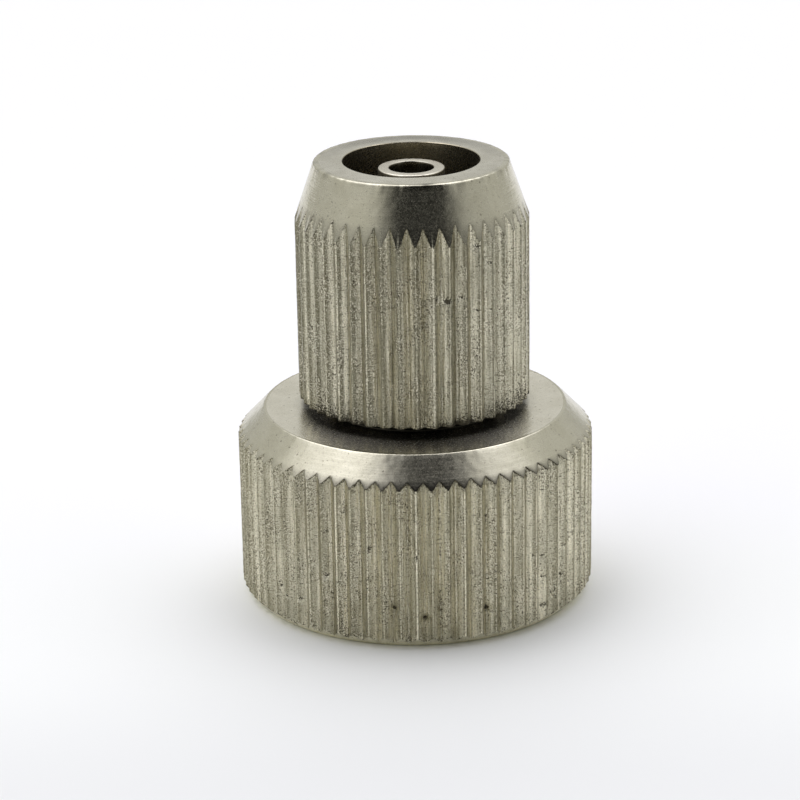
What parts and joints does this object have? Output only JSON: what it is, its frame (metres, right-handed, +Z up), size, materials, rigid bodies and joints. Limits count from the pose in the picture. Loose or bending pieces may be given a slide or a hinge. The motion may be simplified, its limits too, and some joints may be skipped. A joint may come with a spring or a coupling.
{
  "type": "hose connector",
  "caption": "Hose connector of plated brass: a spigot inside a conical knurled clamp nut, on a knurled union nut that swivels and has a female pipe thread.",
  "frame": {"origin": "centre of the union nut's base face", "axes": "+Z up along the common axis of all pieces, from the union nut's mouth to the clamp nut's mouth"},
  "size_m": [0.0184, 0.0184, 0.023],
  "materials": {
    "union_nut_plating": "satin nickel plate over brass, knurled, pitted and slightly worn",
    "clamp_nut_plating": "satin nickel plate over brass, knurled below a smooth turned cone",
    "nipple_plating": "bright turned nickel plate over brass",
    "washer_rubber": "matt black rubber"
  },
  "bodies": {
    "union": {"union_nut": "union_nut_plating", "sealing_washer": "washer_rubber"},
    "nipple": {"hose_nipple": "nipple_plating"},
    "clamp": {"clamp_nut": "clamp_nut_plating"}
  },
  "joints": [
    {"name": "nipple_swivel", "type": "hinge", "parent": "union", "child": "nipple", "pos_m": [0, 0, 0.009], "axis": [0, 0, 1], "continuous": true},
    {"name": "clamp_nut_travel", "type": "slide", "parent": "nipple", "child": "clamp", "axis": [0, 0, 1], "range_m": [0, 0.0125]}
  ]
}
